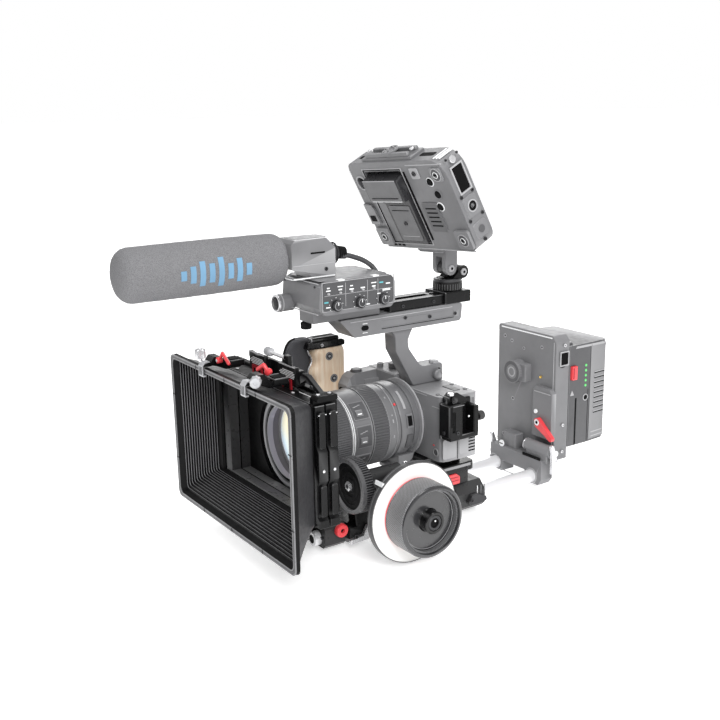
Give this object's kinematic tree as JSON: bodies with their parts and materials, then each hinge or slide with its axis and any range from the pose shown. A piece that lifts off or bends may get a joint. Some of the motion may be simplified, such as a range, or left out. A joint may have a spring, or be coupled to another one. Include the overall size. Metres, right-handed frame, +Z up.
{
  "type": "cinema camera rig",
  "caption": "Cinema camera on rods with matte box, follow focus, wooden side grip, top handle, microphone with windscreen, tilting monitor and rear battery.",
  "frame": {"origin": "centre of the flat tripod face under the rod baseplate", "axes": "+Y from the lens towards the battery, +Z up, +X towards the operator's left, where the follow focus wheel is"},
  "size_m": [0.264, 0.574, 0.395],
  "materials": {
    "black_metal": "satin black anodised",
    "grey_metal": "satin grey",
    "grey_plastic": "fine textured grey",
    "dark_plastic": "matte dark grey",
    "silver": "bright machined",
    "red": "satin red anodised",
    "white": "matte white, for pencil marks",
    "wood": "oiled, open grain",
    "rubber": "matte black",
    "foam": "open-cell foam",
    "glass": "coated"
  },
  "bodies": {
    "rig": {"audio_box": "grey_plastic", "battery_plate": "grey_metal", "cable_bracket": "black_metal", "camera_body": "grey_plastic", "camera_plate": "black_metal", "ff_bridge": "black_metal", "flag_bracket_far": "black_metal", "flag_bracket_near": "black_metal", "front_glass": "glass", "grip_rail": "black_metal", "hand_strap": "rubber", "hood": "black_metal", "lens_adapter": "dark_plastic", "lens_barrel": "grey_plastic", "matte_rod_clamp": "black_metal", "matte_stage": "black_metal", "mic_cable": "rubber", "mic_clamp": "dark_plastic", "microphone": "dark_plastic", "monitor_bracket": "black_metal", "rear_clamp": "grey_metal", "rod_baseplate": "black_metal", "rod_far": "silver", "rod_near": "silver", "top_handle": "grey_plastic", "tray_latch_block": "black_metal", "windscreen": "foam", "wood_grip": "wood"},
    "tray_front": {"filter_tray_front": "black_metal"},
    "tray_rear": {"filter_tray_rear": "black_metal"},
    "knob_far": {"bracket_knob_far": "silver"},
    "knob_near": {"bracket_knob_near": "silver"},
    "lever_far": {"bracket_lever_far": "red"},
    "lever_near": {"bracket_lever_near": "red"},
    "pin": {"swing_pin": "silver"},
    "matte_knob": {"matte_clamp_knob": "red"},
    "rod_lock": {"rod_lock_lever": "black_metal"},
    "latch": {"plate_latch": "red"},
    "screen": {"rear_screen": "grey_plastic"},
    "record_key": {"record_button": "grey_metal"},
    "dial": {"exposure_dial": "grey_metal"},
    "wheel": {"ff_hand_wheel": "grey_metal", "ff_marking_disc": "white"},
    "gear": {"ff_drive_gear": "dark_plastic"},
    "focus": {"focus_ring": "dark_plastic"},
    "zoom": {"zoom_ring": "dark_plastic"},
    "cable_knob": {"cable_clamp_knob": "black_metal"},
    "level_1": {"level_dial_1": "dark_plastic"},
    "level_2": {"level_dial_2": "dark_plastic"},
    "level_3": {"level_dial_3": "dark_plastic"},
    "swivel": {"swivel_base": "grey_metal"},
    "tilt": {"tilt_arm": "grey_metal"},
    "monitor": {"monitor_cage": "grey_metal", "monitor_display": "grey_plastic"},
    "ff_lever": {"ff_clamp_lever": "silver"},
    "clamp_lever_near": {"rear_lever_near": "silver"},
    "clamp_lever_far": {"rear_lever_far": "silver"},
    "release_lever": {"plate_lever": "red"},
    "battery": {"battery": "grey_plastic"},
    "release_key": {"battery_release": "red"}
  },
  "joints": [
    {"name": "tray_front_slide", "type": "slide", "parent": "rig", "child": "tray_front", "axis": [1, 0, 0], "range_m": [0, 0.12]},
    {"name": "tray_rear_slide", "type": "slide", "parent": "rig", "child": "tray_rear", "axis": [1, 0, 0], "range_m": [0, 0.12]},
    {"name": "knob_far_turn", "type": "hinge", "parent": "rig", "child": "knob_far", "pos_m": [-0.05, -0.235, 0.193], "axis": [0, 0, 1], "range_deg": [-180, 180]},
    {"name": "knob_near_turn", "type": "hinge", "parent": "rig", "child": "knob_near", "pos_m": [0.0498, -0.227, 0.1945], "axis": [0.8223, -0.5671, -0.0473], "range_deg": [-180, 180]},
    {"name": "lever_far_lift", "type": "hinge", "parent": "rig", "child": "lever_far", "pos_m": [-0.035, -0.222, 0.1955], "axis": [0, -1, 0], "range_deg": [0, 80]},
    {"name": "lever_near_lift", "type": "hinge", "parent": "rig", "child": "lever_near", "pos_m": [0.039, -0.2085, 0.197], "axis": [-0.4226, 0.9063, 0], "range_deg": [0, 80]},
    {"name": "pin_pull", "type": "slide", "parent": "rig", "child": "pin", "axis": [-1, 0, 0], "range_m": [0, 0.012]},
    {"name": "matte_knob_turn", "type": "hinge", "parent": "rig", "child": "matte_knob", "pos_m": [0.0444, -0.138, 0.0235], "axis": [1, 0, 0], "range_deg": [-180, 180]},
    {"name": "rod_lock_turn", "type": "hinge", "parent": "rig", "child": "rod_lock", "pos_m": [0.05, 0.032, 0.017], "axis": [1, 0, 0], "range_deg": [0, 60]},
    {"name": "latch_slide", "type": "slide", "parent": "rig", "child": "latch", "axis": [0, 1, 0], "range_m": [0, 0.006]},
    {"name": "screen_fold", "type": "hinge", "parent": "rig", "child": "screen", "pos_m": [0.044, 0.0274, 0.111], "axis": [0, 0, -1], "range_deg": [0, 100]},
    {"name": "record_press", "type": "slide", "parent": "rig", "child": "record_key", "axis": [0, 0, -1], "range_m": [0, 0.0015], "stiffness_N_per_m": 250, "springref_m": -0.0008},
    {"name": "dial_turn", "type": "hinge", "parent": "rig", "child": "dial", "pos_m": [-0.034, -0.013, 0.1538], "axis": [0, 0, 1], "range_deg": [-120, 120]},
    {"name": "wheel_turn", "type": "hinge", "parent": "rig", "child": "wheel", "pos_m": [0.0974, -0.0916, 0.0511], "axis": [1, 0, 0], "continuous": true},
    {"name": "gear_turn", "type": "hinge", "parent": "rig", "child": "gear", "pos_m": [0.0608, -0.137, 0.0742], "axis": [0, 1, 0], "continuous": true},
    {"name": "focus_turn", "type": "hinge", "parent": "rig", "child": "focus", "pos_m": [0, -0.128, 0.11], "axis": [0, 1, 0], "continuous": true},
    {"name": "zoom_turn", "type": "hinge", "parent": "rig", "child": "zoom", "pos_m": [0, -0.082, 0.11], "axis": [0, 1, 0], "range_deg": [-35, 35]},
    {"name": "cable_knob_turn", "type": "hinge", "parent": "rig", "child": "cable_knob", "pos_m": [0.075, 0.0113, 0.121], "axis": [0, 1, 0], "range_deg": [-180, 180]},
    {"name": "level_1_turn", "type": "hinge", "parent": "rig", "child": "level_1", "pos_m": [0.0353, -0.13, 0.249], "axis": [1, 0, 0], "range_deg": [-140, 140]},
    {"name": "level_2_turn", "type": "hinge", "parent": "rig", "child": "level_2", "pos_m": [0.0353, -0.1025, 0.249], "axis": [1, 0, 0], "range_deg": [-140, 140]},
    {"name": "level_3_turn", "type": "hinge", "parent": "rig", "child": "level_3", "pos_m": [0.0353, -0.075, 0.249], "axis": [1, 0, 0], "range_deg": [-140, 140]},
    {"name": "swivel_turn", "type": "hinge", "parent": "rig", "child": "swivel", "pos_m": [0, 0.035, 0.2413], "axis": [0, 0, 1], "range_deg": [-170, 170]},
    {"name": "tilt_lower", "type": "hinge", "parent": "swivel", "child": "tilt", "pos_m": [0, 0.047, 0.26], "axis": [1, 0, 0], "range_deg": [-8, 12]},
    {"name": "tilt_upper", "type": "hinge", "parent": "tilt", "child": "monitor", "pos_m": [0, 0.031, 0.265], "axis": [1, 0, 0], "range_deg": [-12, 25]},
    {"name": "ff_lever_lift", "type": "hinge", "parent": "rig", "child": "ff_lever", "pos_m": [0.049, -0.107, 0.016], "axis": [-1, 0, 0], "range_deg": [0, 60]},
    {"name": "clamp_lever_near_swing", "type": "hinge", "parent": "rig", "child": "clamp_lever_near", "pos_m": [0.058, 0.145, 0.027], "axis": [1, 0, 0], "range_deg": [0, 60]},
    {"name": "clamp_lever_far_swing", "type": "hinge", "parent": "rig", "child": "clamp_lever_far", "pos_m": [-0.0437, 0.145, 0.023], "axis": [1, 0, 0], "range_deg": [0, 60]},
    {"name": "release_lever_swing", "type": "hinge", "parent": "rig", "child": "release_lever", "pos_m": [0.0305, 0.145, 0.0775], "axis": [0, -1, 0], "range_deg": [0, 60]},
    {"name": "battery_lift", "type": "slide", "parent": "rig", "child": "battery", "axis": [0, 0, 1], "range_m": [0, 0.022]},
    {"name": "release_press", "type": "slide", "parent": "battery", "child": "release_key", "axis": [-1, 0, 0], "range_m": [0, 0.0015], "stiffness_N_per_m": 250, "springref_m": -0.0008}
  ],
  "couplings": [
    {"joint": "gear_turn", "follows": "wheel_turn", "ratio": 1},
    {"joint": "focus_turn", "follows": "wheel_turn", "ratio": -0.66667}
  ]
}
